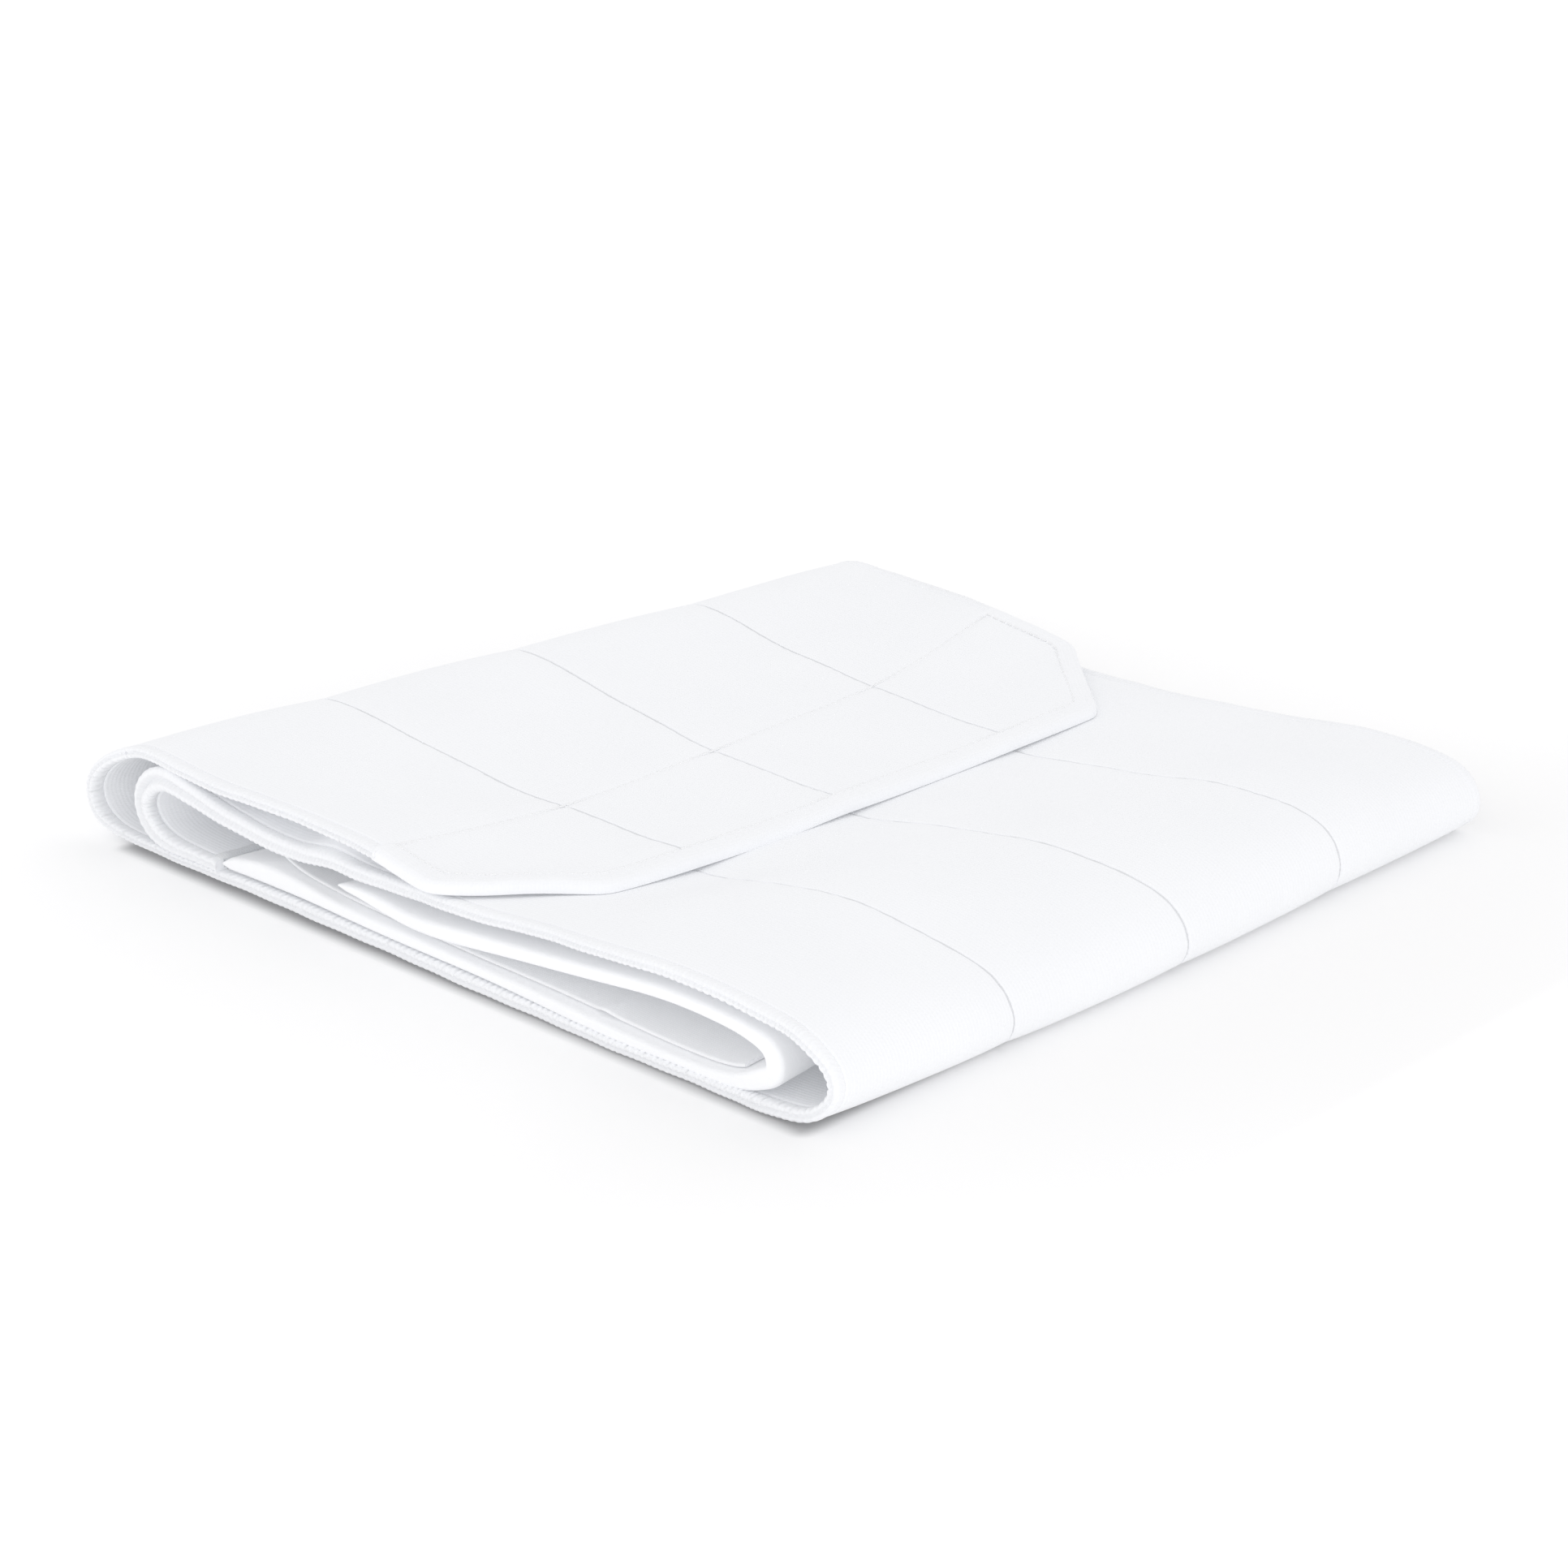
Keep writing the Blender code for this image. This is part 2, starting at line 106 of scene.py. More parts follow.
# Centre line of the padded panel at the same stations: x, height, shift, thickness.
PAD = [
    ((-97, -95, -93, -91, -89), (6.6, 5.3, 5.2, 5.2, 5.2), (3.0, 2.4, 2.4, 2.4, 2.4)),
    ((-91, -89, -87, -85, -83), (7.4, 5.6, 5.3, 5.3, 5.3), (4.6, 3.0, 2.8, 2.8, 2.8)),
    ((-84, -82, -80, -78, -76), (8.0, 5.9, 5.3, 5.3, 5.3), (5.7, 3.6, 3.0, 3.0, 3.0)),
    ((-77, -75, -73, -71, -69), (8.3, 6.2, 5.3, 5.3, 5.3), (6.2, 4.2, 3.0, 3.0, 3.0)),
    ((-69, -67, -65, -63, -61), (8.2, 6.0, 5.3, 5.3, 5.3), (6.0, 3.8, 3.0, 3.0, 3.0)),
    ((-60, -58, -56, -54, -52), (7.9, 5.6, 5.2, 5.2, 5.2), (5.4, 3.4, 3.0, 3.0, 3.0)),
    ((-45, -43, -42, -41, -40), (7.1, 5.2, 5.1, 5.1, 5.1), (4.2, 3.2, 3.0, 3.0, 3.0)),
    ((-17, -16, -16, -16, -16), (6.3, 5.1, 5.1, 5.1, 5.1), (3.6, 3.2, 3.0, 3.0, 3.0)),
    ((17, 16, 16, 15, 15), (5.4, 5.1, 5.1, 5.1, 5.1), (3.4, 3.2, 3.0, 3.0, 3.0)),
    ((50, 48, 46, 44, 42), (4.7, 5.1, 5.1, 5.1, 5.1), (3.8, 3.2, 3.0, 3.0, 3.0)),
    ((85, 82, 78, 75, 72), (3.6, 5.1, 5.1, 5.1, 5.1), (3.2, 3.2, 3.0, 3.0, 3.0)),
    ((106, 101, 97, 93, 89), (3.4, 5.2, 5.2, 5.2, 5.2), (3.0, 3.4, 3.2, 3.2, 3.2)),
    ((122, 115, 112, 107, 102), (4.2, 5.8, 5.7, 5.7, 5.8), (4.4, 3.8, 3.8, 3.8, 3.8)),
    ((132, 124.5, 122, 117, 112), (7.6, 8.6, 8.4, 8.6, 8.6), (6.0, 4.4, 4.4, 4.4, 4.4)),
    ((138.1, 129, 126.5, 121.5, 116.5), (12.6, 12.4, 12.0, 12.2, 12.2), (6.2, 5, 5, 5, 5)),
    ((137.6, 128, 125.5, 120.5, 115.5), (16.8, 16.0, 15.4, 15.6, 15.4), (6.0, 5, 5, 5, 5)),
    ((131.5, 121, 119, 114, 109), (20.4, 19.4, 17.6, 18.0, 17.4), (4.9, 4.6, 4.6, 4.6, 4.4)),
    ((122, 110, 109, 104, 99), (21.9, 20.8, 18.6, 18.6, 17.8), (4.1, 4.2, 4.0, 4.0, 3.8)),
    ((109, 98, 97, 93, 89), (22.5, 21.2, 18.2, 18.0, 17.0), (4.0, 4.0, 3.8, 3.8, 3.6)),
    ((94, 84, 84, 80, 77), (22.1, 20.9, 17.4, 16.4, 15.6), (4.1, 4.0, 3.6, 3.4, 3.4)),
    ((69, 62, 62, 60, 58), (19.6, 17.8, 14.8, 13.2, 13.4), (4.2, 4.0, 3.2, 3.2, 3.2)),
    ((36, 34, 36, 35, 34), (16.7, 13.8, 11.6, 10.2, 11.2), (4.5, 4.0, 3.0, 3.0, 3.2)),
    ((15, 14, 15, 14, 14), (14.7, 12.0, 10.0, 9.2, 10.6), (5.0, 3.8, 3.0, 2.8, 3.0)),
    ((-7, -7, -7, -7, -7), (12.8, 11.2, 9.8, 9.2, 10.6), (4.6, 3.6, 3.0, 2.8, 3.0)),
    ((-18, -18, -18, -18, -18), (13.3, 11.2, 9.8, 9.2, 10.6), (4.2, 3.4, 3.0, 2.8, 3.0)),
    ((-30, -29, -29, -29, -29), (14.8, 11.4, 9.9, 9.4, 10.8), (3.6, 3.0, 2.8, 2.8, 2.8)),
    ((-42, -38, -38, -38, -38), (15.6, 11.6, 10.0, 9.6, 11.0), (2.0, 2.4, 2.4, 2.4, 2.4)),
]
PAD = [(x, z, NONE, t) for x, z, t in PAD]


# ------------------------------------------------------------ smooth surfaces --
def spline_weights(knots, at):
    """Rows that turn values at the knots into a natural cubic curve at these places."""
    k = np.asarray(knots, float)
    n = len(k)
    h = np.diff(k)
    left = np.eye(n)
    right = np.zeros((n, n))
    for i in range(1, n - 1):
        left[i, i - 1 : i + 2] = h[i - 1], 2 * (h[i - 1] + h[i]), h[i]
        right[i, i - 1] = 6 / h[i - 1]
        right[i, i] = -6 / h[i - 1] - 6 / h[i]
        right[i, i + 1] = 6 / h[i]
    bend = np.linalg.solve(left, right)
    at = np.clip(np.asarray(at, float), k[0], k[-1])
    i = np.clip(np.searchsorted(k, at, side="right") - 1, 0, n - 2)
    a = (k[i + 1] - at) / h[i]
    b = 1 - a
    eye = np.eye(n)
    lift = (h[i] ** 2 / 6)[:, None]
    out = a[:, None] * eye[i] + b[:, None] * eye[i + 1]
    out += ((a**3 - a)[:, None] * bend[i] + (b**3 - b)[:, None] * bend[i + 1]) * lift
    return out


class Layer:
    """A surface through control sections; t runs along it and y across."""

    def __init__(self, rows, relief=None):
        self.c = np.array(rows, float).transpose(0, 2, 1)
        middle = self.c[:, :, :2].mean(axis=1)
        steps = np.linalg.norm(np.diff(middle, axis=0), axis=1)
        self.knots = np.concatenate([[0], np.cumsum(steps)])
        self.length = self.knots[-1]
        self.relief = relief

    def raw(self, t, y):
        """Points for a grid of t and y, in mm, and the thickness there."""
        wt = spline_weights(self.knots, t)
        wy = spline_weights(STATIONS, y)
        q = np.einsum("ti,yk,ikc->tyc", wt, wy, self.c, optimize=True)
        yy = np.broadcast_to(np.asarray(y, float)[None, :], q.shape[:2])
        p = np.stack([q[..., 0], yy + q[..., 2], q[..., 1]], axis=-1)
        if self.relief is not None:
            p = self.relief(p, np.asarray(t, float)[:, None], yy)
        return p, q[..., 3]

    def grid(self, t, y):
        """Points, outward normals and thickness for a grid of t and y."""
        t = np.asarray(t, float)
        y = np.asarray(y, float)
        e = 0.25
        p, thick = self.raw(t, y)
        along = self.raw(t + e, y)[0] - self.raw(t - e, y)[0]
        inner = np.clip(y, -HALF + e, HALF - e)
        across = self.raw(t, inner + e)[0] - self.raw(t, inner - e)[0]
        n = np.cross(across, along)
        n /= np.linalg.norm(n, axis=-1, keepdims=True)
        return p, n, thick

    def steps(self, start, end, fine, coarse):
        """Values of t, closer together where the surface bends."""
        dense = np.linspace(start, end, 1600)
        p = self.raw(dense, np.array([-HALF, 0.0]))[0].mean(axis=1)
        d = np.diff(p, axis=0)
        ds = np.linalg.norm(d, axis=1)
        angle = np.unwrap(np.arctan2(d[:, 2], d[:, 0]))
        bend = np.abs(np.gradient(angle)) / ds
        bend = np.convolve(bend, np.ones(41) / 41, mode="same")
        pace = ds / np.clip(0.085 / (bend + 1e-6), fine, coarse)
        total = np.concatenate([[0], np.cumsum(pace)])
        count = int(total[-1]) + 2
        return np.interp(np.linspace(0, total[-1], count), total, dense)


def hump(a, centre, width):
    return np.exp(-(((a - centre) / width) ** 2))


SECOND_DROP = 0.45  # how far the second layer keeps down under the flap's middle, mm
TAB_LIFT = 0.75  # how far the tab's end keeps off the second layer, mm
PAD_LIFT = 0.60  # how far the padded panel keeps off the bottom layer near the long edge, mm


def belt_relief(p, t, y):
    """Slack of the soft belt: slow waves, and the lift of the second layer near its edge."""
    x = p[..., 0]
    on_second = (t > T_SECOND_START) & (t < T_SECOND_END)
    wave = 0.30 * np.sin(t / 17.0 + y / 23.0) * np.sin(y / 31.0 + 1.1)
    wave = wave + 0.18 * np.sin(t / 7.3 - y / 12.0 + 0.7)
    free = np.clip((p[..., 2] - 8.0) / 8.0, 0, 1)
    dz = wave * free
    rise = 1 / (1 + np.exp(-(x + 94.0) / 5.0)) / (1 + np.exp((x + 38.0) / 3.0))
    dz = dz + on_second * 4.0 * rise * hump(y, -127.0, 15.0)
    dz = dz + on_second * 4.6 * hump(x, -47.0, 9.0) * hump(y, -142.0, 7.0)
    dz = dz - on_second * SECOND_DROP * hump(x, -92.0, 24.0) * hump(y, 45.0, 38.0)
    on_tab = 1 / (1 + np.exp(-(x - 14.0) / 2.2)) / (1 + np.exp(-(y + 136.0) / 4.0))
    dz = dz + (t < T_CREST) * TAB_LIFT * on_tab / (1 + np.exp((y - 4.0) / 6.0))
    dy = 0.45 * np.sin(t / 13.0 + 0.4) * (1 - (y / HALF) ** 2)
    return p + np.stack([0 * dz, dy + 0 * dz, dz], axis=-1)


def pad_relief(p, t, y):
    """The padded panel lies on the bottom layer and doesn't sink into it."""
    low = 1 / (1 + np.exp((p[..., 2] - 9.5) / 0.8))
    lift = PAD_LIFT * low / (1 + np.exp((y + 70.0) / 8.0))
    return p + lift[..., None] * np.array([0, 0, 1.0])


belt = Layer(BELT, belt_relief)
T_SECOND_START = belt.knots[30]
T_SECOND_END = belt.knots[36]
pad = Layer(PAD, pad_relief)
T_CREST = belt.knots[8]


def t_at_x(x, y):
    """t on the closing flap where the belt's centre line is at x, for matching arrays."""
    lines = np.linspace(-HALF, HALF, 123)
    dense = np.linspace(0, T_CREST + 4.0, 700)
    xs = belt.raw(dense, lines)[0][..., 0]
    grid = np.linspace(-136.0, 40.0, 881)
    table = np.stack([np.interp(-grid, -xs[:, j], dense) for j in range(len(lines))], axis=1)
    gi = np.clip((np.asarray(x, float) - grid[0]) / (grid[1] - grid[0]), 0, len(grid) - 1.001)
    gj = np.clip((np.asarray(y, float) + HALF) / (lines[1] - lines[0]), 0, len(lines) - 1.001)
    i = gi.astype(int)
    j = gj.astype(int)
    a = gi - i
    b = gj - j
    low = table[i, j] * (1 - a) + table[i + 1, j] * a
    high = table[i, j + 1] * (1 - a) + table[i + 1, j + 1] * a
    return low * (1 - b) + high * b


def points_at(layer, t, y):
    """Points, normals and thickness at matching t and y values of any shape."""
    t = np.asarray(t, float)
    shape = t.shape
    t = t.ravel()
    y = np.asarray(y, float).ravel()
    out = []
    e = 0.25
    yc = np.clip(y, -HALF + e, HALF - e)
    for tt, yy in ((t, y), (t + e, y), (t - e, y), (t, yc + e), (t, yc - e)):
        wt = spline_weights(layer.knots, tt)
        wy = spline_weights(STATIONS, yy)
        q = np.einsum("pi,pk,ikc->pc", wt, wy, layer.c, optimize=True)
        p = np.stack([q[:, 0], yy + q[:, 2], q[:, 1]], axis=-1)
        if layer.relief is not None:
            p = layer.relief(p, tt, yy)
        out.append((p, q[:, 3]))
    n = np.cross(out[3][0] - out[4][0], out[1][0] - out[2][0])
    n /= np.linalg.norm(n, axis=-1, keepdims=True)
    return out[0][0].reshape(shape + (3,)), n.reshape(shape + (3,)), out[0][1].reshape(shape)


# ---------------------------------------------------------------- mesh makers --
FLOOR_GAP = 0.02  # mm


def mesh_object(name, points, quads, uv, material, sharp=None):
    """An object from points in mm, quads and one UV pair in metres for each point."""
    mesh = bpy.data.meshes.new(name)
    quads = np.asarray(quads, dtype=np.int32)
    points = np.array(points, float)
    points[:, 2] = np.maximum(points[:, 2], FLOOR_GAP)  # nothing reaches below the floor
    mesh.vertices.add(len(points))
    mesh.vertices.foreach_set("co", (points * MM).astype(np.float32).ravel())
    mesh.loops.add(quads.size)
    mesh.loops.foreach_set("vertex_index", quads.ravel())
    mesh.polygons.add(len(quads))
    mesh.polygons.foreach_set("loop_start", np.arange(0, quads.size, 4, dtype=np.int32))
    layer = mesh.uv_layers.new(name="flat")
    layer.data.foreach_set("uv", (np.asarray(uv)[quads.ravel()] * MM).astype(np.float32).ravel())
    mesh.update(calc_edges=True)
    mesh.polygons.foreach_set("use_smooth", np.ones(len(quads), dtype=bool))
    if sharp is not None:
        ends = np.zeros(len(mesh.edges) * 2, dtype=np.int32)
        mesh.edges.foreach_get("vertices", ends)
        mark = sharp[ends.reshape(-1, 2)]
        flags = (mark[:, 0] > 0) & (mark[:, 0] == mark[:, 1])
        attribute = mesh.attributes.new("sharp_edge", "BOOLEAN", "EDGE")
        attribute.data.foreach_set("value", flags)
    mesh.validate()
    mesh.materials.append(material)
    obj = bpy.data.objects.new(name, mesh)
    bpy.context.scene.collection.objects.link(obj)
    return obj


def slab(name, top, bottom, s, y, material, sharp_ends=True):
    """A closed sheet between two grids of points of the same shape."""
    nt, ny = top.shape[:2]
    count = nt * ny
    index = np.arange(count).reshape(nt, ny)
    up = np.stack([index[:-1, :-1], index[:-1, 1:], index[1:, 1:], index[1:, :-1]], axis=-1)
    under = up[..., ::-1] + count
    faces = [up.reshape(-1, 4), under.reshape(-1, 4)]
    for column, flip in ((0, False), (ny - 1, True)):
        a = index[:-1, column]
        b = index[1:, column]
        wall = np.stack([a, b, b + count, a + count], axis=-1)
        faces.append(wall[:, ::-1] if flip else wall)
    for row, flip in ((0, True), (nt - 1, False)):
        a = index[row, :-1]
        b = index[row, 1:]
        wall = np.stack([a, b, b + count, a + count], axis=-1)
        faces.append(wall[:, ::-1] if flip else wall)
    points = np.concatenate([top.reshape(-1, 3), bottom.reshape(-1, 3)])
    ss = np.broadcast_to(s, (nt, ny)) if np.ndim(s) == 2 else np.repeat(s[:, None], ny, axis=1)
    yy = np.broadcast_to(y, (nt, ny))
    uv = np.stack([ss.ravel(), yy.ravel()], axis=-1)
    uv = np.concatenate([uv, uv])
    sharp = None
    if sharp_ends:
        sharp = np.zeros((nt, ny), dtype=int)
        sharp[0] = 1
        sharp[-1] = 2
        sharp = np.concatenate([sharp.ravel(), sharp.ravel()])
    return mesh_object(name, points, np.concatenate(faces), uv, material, sharp)


def ring_tube(name, rings, s, across, material):
    """A closed tube through rings of points: (steps, ring size, 3)."""
    nt, nr = rings.shape[:2]
    index = np.arange(nt * nr).reshape(nt, nr)
    nxt = np.roll(index, -1, axis=1)
    faces = np.stack([index[:-1], nxt[:-1], nxt[1:], index[1:]], axis=-1).reshape(-1, 4)
    faces = [faces]
    half = nr // 2
    for row, flip in ((0, True), (nt - 1, False)):
        ring = index[row]
        back = ring[::-1]
        a = ring[: half - 1]
        b = ring[1:half]
        c = back[1:half]
        d = back[: half - 1]
        wall = np.stack([a, b, c, d], axis=-1)
        faces.append(wall[:, ::-1] if flip else wall)
    uv = np.stack([np.repeat(s, nr), np.tile(across, nt)], axis=-1)
    sharp = np.zeros((nt, nr), dtype=int)
    sharp[0] = 1
    sharp[-1] = 2
    obj = mesh_object(
        name, rings.reshape(-1, 3), np.concatenate(faces), uv, material, sharp.ravel()
    )
    return obj


def rounded(low, high, radius, inner, count=5, last=None):
    """Places from low to high, close together at both rounded sides, and the share of
    the full half thickness at each; inner is the share at the low side, last at the high."""
    angle = np.linspace(0, math.pi / 2, count)
    d = radius * (1 - np.cos(angle))
    last = inner if last is None else last
    share = inner + (1 - inner) * np.sin(angle)
    end = last + (1 - last) * np.sin(angle)
    n = max(3, int((high - low - 2 * radius) / 2.6))
    middle = np.linspace(low + radius, high - radius, n + 1)[1:-1]
    y = np.concatenate([low + d, middle, (high - d)[::-1]])
    f = np.concatenate([share, np.ones(len(middle)), end[::-1]])
    return y, f


# ------------------------------------------------------------------ materials --
def new_group(name, outputs):
    group = bpy.data.node_groups.new(name, "ShaderNodeTree")
    group.interface.new_socket("Vector", in_out="INPUT", socket_type="NodeSocketVector")
    for label, kind in outputs:
        group.interface.new_socket(label, in_out="OUTPUT", socket_type=kind)
    source = group.nodes.new("NodeGroupInput")
    sink = group.nodes.new("NodeGroupOutput")
    return group, source, sink


def math_node(tree, operation, a, b=None, c=None):
    node = tree.nodes.new("ShaderNodeMath")
    node.operation = operation
    for socket, value in zip(node.inputs, (a, b, c)):
        if value is None:
            continue
        if hasattr(value, "is_linked"):
            tree.links.new(value, socket)
        else:
            socket.default_value = value
    return node.outputs[0]


def noise_node(tree, vector, scale, detail=2.0):
    node = tree.nodes.new("ShaderNodeTexNoise")
    node.inputs["Scale"].default_value = scale
    node.inputs["Detail"].default_value = detail
    tree.links.new(vector, node.inputs["Vector"])
    return node.outputs["Fac"]


def rib_group(name, rib_pitch, stitch_pitch, rib_depth, stitch_depth):
    """Ribs along the belt crossed by fine knit stitches: a height, and a shade that is painted shade
    in the rib and stitch grooves plus random broad tone.
    """
    group, source, sink = new_group(
        name, (("Height", "NodeSocketFloat"), ("Shade", "NodeSocketFloat"))
    )
    split = group.nodes.new("ShaderNodeSeparateXYZ")
    group.links.new(source.outputs["Vector"], split.inputs[0])
    s = split.outputs["X"]
    y = split.outputs["Y"]
    drift = noise_node(group, source.outputs["Vector"], 60.0)
    y2 = math_node(group, "MULTIPLY_ADD", drift, 0.0011, y)
    rib = math_node(group, "SINE", math_node(group, "MULTIPLY", y2, 2 * math.pi / rib_pitch))
    half_turn = math_node(group, "MULTIPLY", y2, math.pi / rib_pitch)
    shift = math_node(group, "SINE", half_turn)
    s2 = math_node(group, "MULTIPLY_ADD", drift, 0.0009, s)
    phase = math_node(group, "MULTIPLY", s2, 2 * math.pi / stitch_pitch)
    phase = math_node(group, "MULTIPLY_ADD", shift, 1.6, phase)
    stitch = math_node(group, "SINE", phase)
    fuzz = noise_node(group, source.outputs["Vector"], 2600.0, 3.0)
    height = math_node(group, "MULTIPLY", rib, rib_depth)
    height = math_node(group, "MULTIPLY_ADD", stitch, stitch_depth, height)
    height = math_node(group, "MULTIPLY_ADD", fuzz, 0.5 * stitch_depth, height)
    group.links.new(height, sink.inputs["Height"])
    broad = noise_node(group, source.outputs["Vector"], 22.0)
    # Painted shade: lighter on the rib and stitch crests and darker in their grooves, following the
    # height; the broad noise is random tone.
    shade = math_node(group, "MULTIPLY_ADD", rib, 0.12, 0.5)
    shade = math_node(group, "MULTIPLY_ADD", stitch, 0.06, shade)
    shade = math_node(group, "MULTIPLY_ADD", broad, 0.5, shade)
    group.links.new(shade, sink.inputs["Shade"])
    return group


def fuzz_group(name, scale, depth):
    """Short brushed pile: a height, and a shade that is painted shade in the dips between the pile's
    clumps.
    """
    group, source, sink = new_group(
        name, (("Height", "NodeSocketFloat"), ("Shade", "NodeSocketFloat"))
    )
    fine = noise_node(group, source.outputs["Vector"], scale, 4.0)
    clump = noise_node(group, source.outputs["Vector"], scale * 0.22, 3.0)
    height = math_node(group, "MULTIPLY", fine, depth)
    height = math_node(group, "MULTIPLY_ADD", clump, depth * 1.4, height)
    group.links.new(height, sink.inputs["Height"])
    # Painted shade: the colour is darker where the pile's clumps dip.
    shade = math_node(group, "MULTIPLY_ADD", clump, 0.8, 0.2)
    group.links.new(shade, sink.inputs["Shade"])
    return group


def cloth_material(name, group, light, dark, bump=1.0, sheen=0.25, painted_fill_glow=0.05):
    material = bpy.data.materials.new(name)
    material.use_nodes = True
    tree = material.node_tree
    shader = tree.nodes["Principled BSDF"]
    coord = tree.nodes.new("ShaderNodeTexCoord")
    detail = tree.nodes.new("ShaderNodeGroup")
    detail.node_tree = group
    tree.links.new(coord.outputs["UV"], detail.inputs["Vector"])
    mix = tree.nodes.new("ShaderNodeMix")
    mix.data_type = "RGBA"
    mix.inputs[6].default_value = (*dark, 1.0)
    mix.inputs[7].default_value = (*light, 1.0)
    tree.links.new(detail.outputs["Shade"], mix.inputs[0])
    tree.links.new(mix.outputs[2], shader.inputs["Base Color"])
    lift = tree.nodes.new("ShaderNodeBump")
    lift.inputs["Strength"].default_value = bump
    lift.inputs["Distance"].default_value = 1.0
    tree.links.new(detail.outputs["Height"], lift.inputs["Height"])
    tree.links.new(lift.outputs["Normal"], shader.inputs["Normal"])
    shader.inputs["Roughness"].default_value = 0.92
    shader.inputs["Specular IOR Level"].default_value = 0.18
    shader.inputs["Sheen Weight"].default_value = sheen
    shader.inputs["Sheen Roughness"].default_value = 0.5
    # Painted light: a weak glow in the fabric, though it is no lamp, which lightens the roll's shaded
    # hollows.
    shader.inputs["Emission Color"].default_value = (0.97, 0.985, 1.0, 1.0)
    shader.inputs["Emission Strength"].default_value = painted_fill_glow
    return material


# Each pair of light and dark colours below is mixed by its group's shade: painted shade in the
# fabric's grooves and dips, plus random tone.
KNIT_LIGHT = (0.930, 0.938, 0.958)
KNIT_DARK = (0.868, 0.878, 0.900)
knit_detail = rib_group("knit_ribs", 0.00140, 0.00115, 0.000032, 0.000024)
edge_detail = rib_group("edge_overlock", 0.00240, 0.00130, 0.00003, 0.00009)
tape_detail = rib_group("hook_tape_rows", 0.0013, 0.0011, 0.00008, 0.00008)
thread_detail = rib_group("thread_twist", 0.0009, 0.0007, 0.00003, 0.00004)
pile_detail = fuzz_group("brushed_pile", 1500.0, 0.00010)
ply_detail = rib_group("thin_ply_knit", 0.0009, 0.0008, 0.00002, 0.00002)

knit = cloth_material("ribbed_elastic_knit", knit_detail, KNIT_LIGHT, KNIT_DARK, bump=0.8)
edging = cloth_material("overlocked_edge", edge_detail, KNIT_LIGHT, KNIT_DARK, bump=0.6)
PILE_LIGHT = (0.925, 0.93, 0.945)
PILE_DARK = (0.89, 0.895, 0.91)
pile = cloth_material("brushed_loop_fabric", pile_detail, PILE_LIGHT, PILE_DARK, painted_fill_glow=0.09)
thin = cloth_material("thin_ply", ply_detail, (0.935, 0.94, 0.955), (0.88, 0.888, 0.905), bump=0.8)
tape = cloth_material("hook_tape", tape_detail, (0.80, 0.805, 0.815), (0.68, 0.69, 0.70), sheen=0.05)
thread = cloth_material("sewing_thread", thread_detail, (0.95, 0.955, 0.965), (0.90, 0.905, 0.92))
seam_mat = cloth_material("seam_thread", thread_detail, (0.76, 0.77, 0.79), (0.66, 0.67, 0.69))


# --------------------------------------------------------------------- pieces --
SEAM_GAP = 0.38  # half the gap between two panels at their surface, mm
BEAD = 4.6  # how far the edge binding reaches in from the long edge, mm
CROWN = 0.45  # how far each panel swells between its seams, mm
SEAM_HALF = 0.95  # half the width of a seam thread, mm
SCALLOP_PITCH = 2.2
SCALLOP_DEPTH = 0.75


def side_limits(i):
    low = -HALF + BEAD if i == 0 else SEAMS[i - 1] + SEAM_GAP
    high = HALF - BEAD if i == 3 else SEAMS[i] - SEAM_GAP
    return low, high


def panel_places(i):
    low, high = side_limits(i)
    return rounded(low, high, 0.8, 0.85 if i == 0 else 0.68, 5, 0.85 if i == 3 else 0.68)


def crown(y, i):
    low, high = side_limits(i)
    u = np.clip(2 * (y - (low + high) / 2) / (high - low), -1, 1)
    return CROWN * (1 - np.abs(u) ** 3)


def seam_pucker(t, y):
    """Small gathers beside the joining seams, as a height in mm."""
    out = 0
    for k, seam in enumerate(SEAMS):
        near = np.exp(-np.abs(y - seam) / 3.2)
        out = out + near * (np.sin(t / 0.95 + 2.0 * k) + 0.6 * np.sin(t / 2.9 + k))
    return 0.10 * out


def belt_panel(name, i, t):
    y, share = panel_places(i)
    p, n, thick = belt.grid(t, y)
    half = thick / 2 * share[None, :]
    tt = np.asarray(t)[:, None]
    lift = crown(y, i)[None, :] * share[None, :] + seam_pucker(tt, y[None, :])
    top = p + n * (half + lift)[..., None]
    bottom = p - n * half[..., None]
    return slab(name, top, bottom, np.asarray(t), y, knit)


def belt_seam(name, i, t):
    """The zigzag thread down in the groove between two panels."""
    y = np.linspace(SEAMS[i] - SEAM_HALF, SEAMS[i] + SEAM_HALF, 7)
    p, n, thick = belt.grid(t, y)
    profile = np.sqrt(np.clip(1 - ((y - SEAMS[i]) / 1.0) ** 2, 0.05, 1))
    zig = 0.10 * np.sin(np.asarray(t)[:, None] / 0.28 + (y[None, :] - SEAMS[i]) * 2.0)
    half = (1.40 * profile)[None, :] + zig
    return slab(name, p + n * half[..., None], p - n * half[..., None], np.asarray(t), y, seam_mat)


